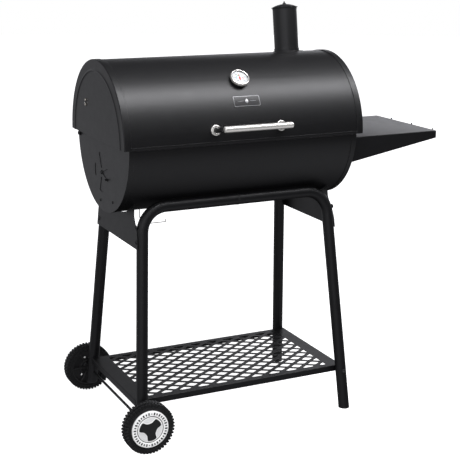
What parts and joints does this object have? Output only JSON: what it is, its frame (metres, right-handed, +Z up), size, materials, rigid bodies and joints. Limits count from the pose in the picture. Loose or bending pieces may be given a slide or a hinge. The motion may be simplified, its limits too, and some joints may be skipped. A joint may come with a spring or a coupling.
{
  "type": "barrel charcoal grill",
  "caption": "Barrel charcoal grill on a wheeled tube frame, with hinged half-round lid, chimney, vent, side table with hooks, warming rack and perforated lower shelf.",
  "frame": {"origin": "on the floor, under the centre of the whole object's plan outline", "axes": "+Z up; +X along the barrel towards the side table; -Y is the front, where the lid handle is"},
  "size_m": [1.1262, 0.5797, 1.2525],
  "materials": {
    "satin_black_paint": "satin heat-resistant powder coat",
    "frame_black_paint": "semi-gloss powder coat",
    "chrome": "bright plated",
    "black_plastic": "moulded, matte",
    "tyre_plastic": "moulded tread, matte",
    "white_plastic": "semi-gloss",
    "black_oxide": "black oxide fasteners",
    "black_enamel": "gloss porcelain enamel on steel wire",
    "dial_white": "printed dial",
    "needle_red": "painted",
    "clear_glass": "clear",
    "badge": "dark plate with bright border",
    "zinc_wire": "zinc plated wire"
  },
  "bodies": {
    "frame": {"firebox_shell": "satin_black_paint", "firebox_end_left": "satin_black_paint", "firebox_end_right": "satin_black_paint", "grate_rails": "satin_black_paint", "charcoal_tray": "satin_black_paint", "tray_lugs": "satin_black_paint", "leg_front_left": "frame_black_paint", "leg_front_right": "frame_black_paint", "leg_rear_left": "frame_black_paint", "leg_rear_right": "frame_black_paint", "side_plate_left": "frame_black_paint", "side_plate_right": "frame_black_paint", "bottom_shelf": "frame_black_paint", "side_table": "frame_black_paint", "tool_hooks": "frame_black_paint", "rack_link_brackets": "frame_black_paint", "leg_plugs": "black_plastic", "hinge_bolts": "black_oxide", "vent_pivot_bolt": "black_oxide", "tray_lug_screws": "black_oxide", "side_plate_bolts": "black_oxide", "firebox_mount_bolts": "black_oxide", "shelf_bolts": "black_oxide", "table_bolts": "black_oxide", "axle": "black_oxide", "axle_nuts": "black_oxide", "cooking_grate_left": "black_enamel", "cooking_grate_right": "black_enamel", "grease_can_hook": "zinc_wire"},
    "lid": {"lid_shell": "satin_black_paint", "lid_end_left": "satin_black_paint", "lid_end_right": "satin_black_paint", "lid_hinge_brackets": "satin_black_paint", "handle_bar": "chrome", "handle_posts": "black_plastic", "handle_bezels": "chrome", "handle_screws": "black_oxide", "thermometer_housing": "satin_black_paint", "thermometer_bezel": "chrome", "thermometer_dial": "dial_white", "thermometer_lens": "clear_glass", "thermometer_stem": "zinc_wire", "badge_plate": "badge", "chimney_pipe": "satin_black_paint", "chimney_collar": "satin_black_paint", "chimney_bolts": "black_oxide", "chimney_cap_screw": "black_oxide"},
    "chimney_cap": {"chimney_cap": "satin_black_paint", "chimney_cap_knob": "satin_black_paint"},
    "thermometer_needle": {"thermometer_needle": "needle_red"},
    "vent_damper": {"vent_damper": "satin_black_paint"},
    "warming_rack": {"warming_rack": "chrome"},
    "rack_links": {"rack_links": "chrome"},
    "wheel_front": {"tyre_front": "tyre_plastic", "wheel_hub_front": "black_plastic", "hub_cap_front": "white_plastic"},
    "wheel_rear": {"tyre_rear": "tyre_plastic", "wheel_hub_rear": "black_plastic", "hub_cap_rear": "white_plastic"}
  },
  "joints": [
    {"name": "lid_hinge", "type": "hinge", "parent": "frame", "child": "lid", "pos_m": [-0.1471, 0.20845, 0.863], "axis": [-1, 0, 0], "range_deg": [0, 85]},
    {"name": "chimney_cap_swing", "type": "hinge", "parent": "lid", "child": "chimney_cap", "pos_m": [0.1223, 0.12458, 1.22657], "axis": [0, 0.144, 0.9896], "range_deg": [0, 120]},
    {"name": "thermometer_needle_turn", "type": "hinge", "parent": "lid", "child": "thermometer_needle", "pos_m": [-0.1471, -0.14732, 1.04464], "axis": [0, 0.6769, -0.7361], "range_deg": [-135, 135]},
    {"name": "vent_damper_turn", "type": "hinge", "parent": "frame", "child": "vent_damper", "pos_m": [-0.5106, 0.01945, 0.7748], "axis": [-1, 0, 0], "range_deg": [0, 33]},
    {"name": "warming_rack_pivot", "type": "hinge", "parent": "lid", "child": "warming_rack", "pos_m": [-0.1471, 0.10155, 0.9698], "axis": [-1, 0, 0], "range_deg": [-85, 0]},
    {"name": "rack_link_pivot", "type": "hinge", "parent": "frame", "child": "rack_links", "pos_m": [-0.1471, 0.00845, 0.863], "axis": [-1, 0, 0], "range_deg": [0, 85]},
    {"name": "wheel_front_spin", "type": "hinge", "parent": "frame", "child": "wheel_front", "pos_m": [-0.48616, -0.26055, 0.0768], "axis": [0, 1, 0], "continuous": true},
    {"name": "wheel_rear_spin", "type": "hinge", "parent": "frame", "child": "wheel_rear", "pos_m": [-0.48616, 0.27145, 0.0768], "axis": [0, 1, 0], "continuous": true}
  ],
  "couplings": [
    {"joint": "warming_rack_pivot", "follows": "lid_hinge", "ratio": -1},
    {"joint": "rack_link_pivot", "follows": "lid_hinge", "ratio": 1}
  ]
}
